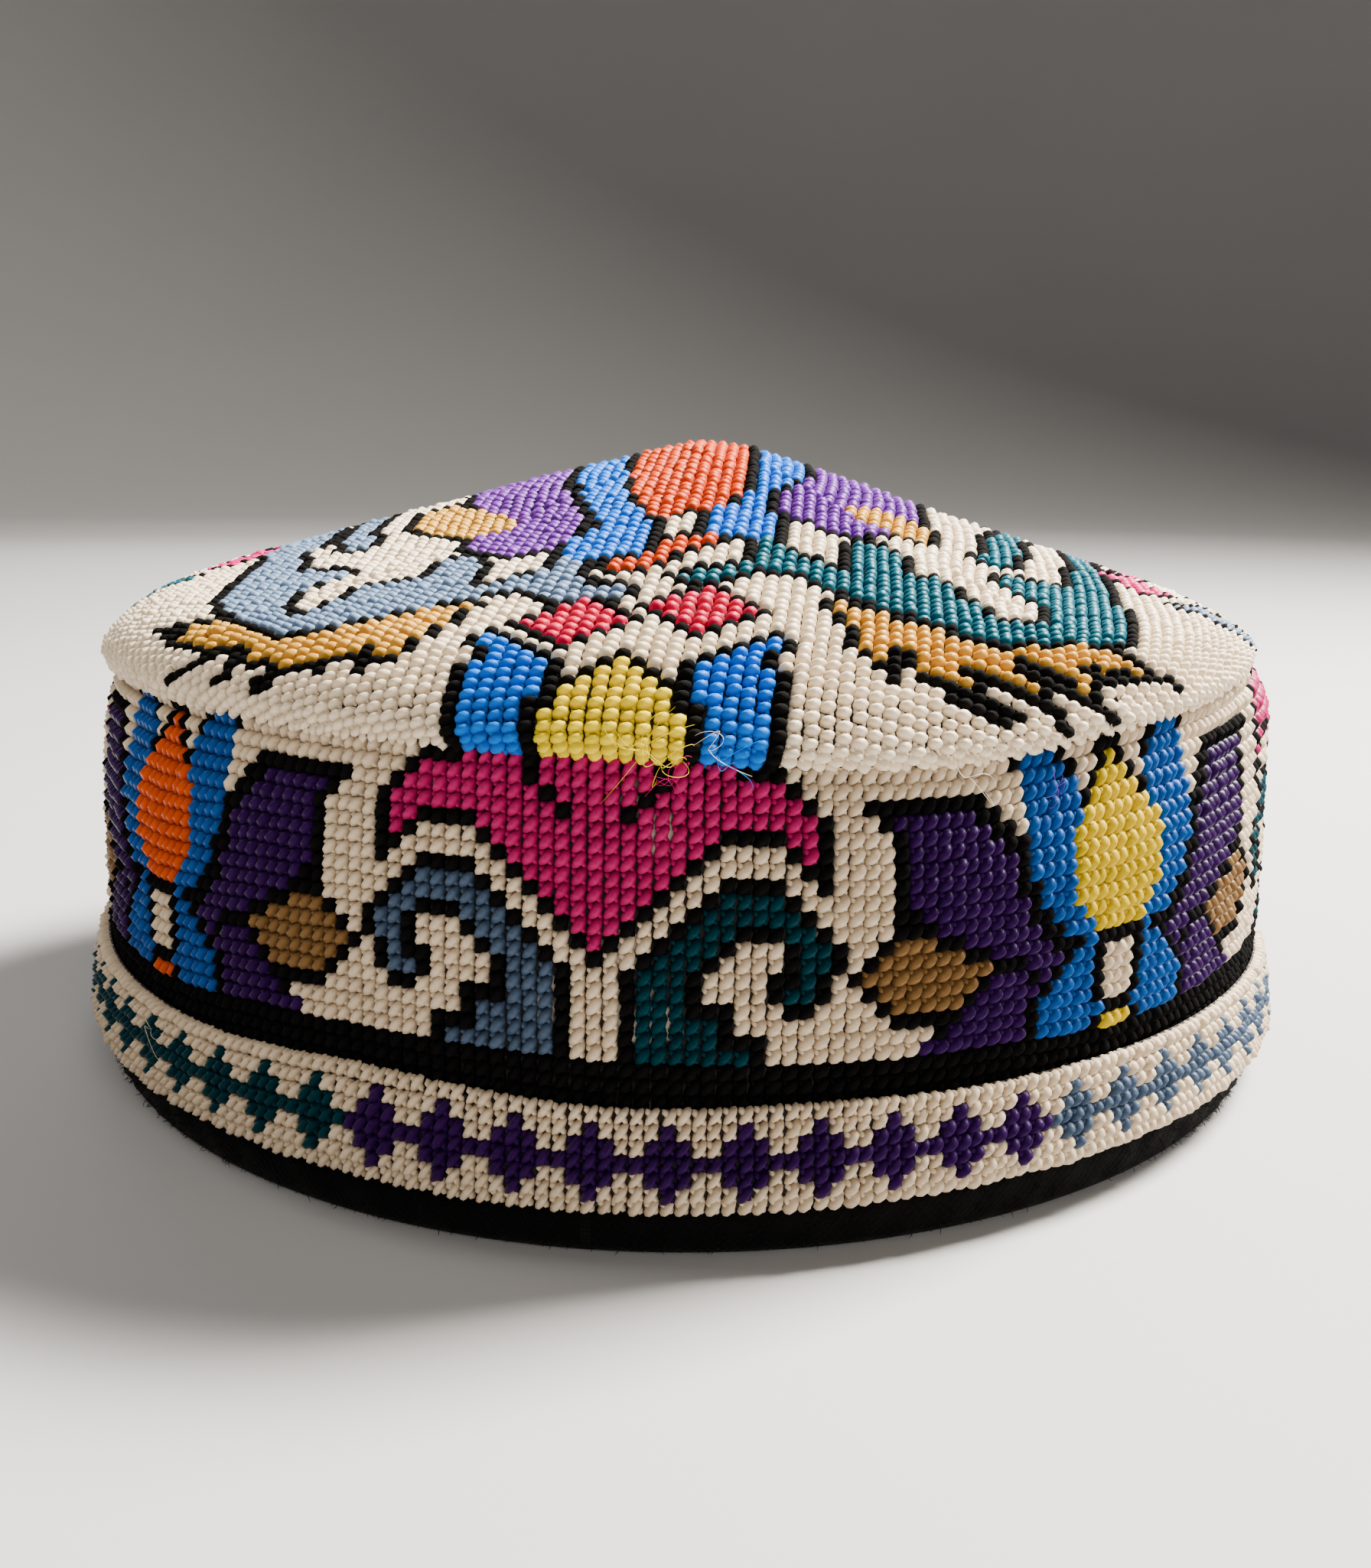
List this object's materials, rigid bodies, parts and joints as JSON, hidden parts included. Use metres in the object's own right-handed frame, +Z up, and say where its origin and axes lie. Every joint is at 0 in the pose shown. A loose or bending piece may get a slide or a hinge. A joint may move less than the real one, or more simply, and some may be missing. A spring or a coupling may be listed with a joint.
{
  "type": "tubeteika skullcap",
  "caption": "Round embroidered skullcap with a low coned crown, an upright side band, a narrow raised trim band and a dark rim binding, open below for the head.",
  "frame": {"origin": "on the cap's upright axis, at the level the rim rests on", "axes": "+Z up through the apex of the crown, -Y towards the front motif of the side band"},
  "size_m": [0.1886, 0.1854, 0.0922],
  "materials": {
    "crown_cloth": "matte cross-stitched cloth with a soft thread sheen",
    "band_cloth": "matte cross-stitched cloth with a soft thread sheen",
    "trim_cloth": "matte cross-stitched cloth with a soft thread sheen",
    "binding_cloth": "matte black napped cloth"
  },
  "bodies": {
    "root": {"crown": "crown_cloth", "side_band": "band_cloth", "trim_band": "trim_cloth", "rim_binding": "binding_cloth"}
  },
  "joints": []
}
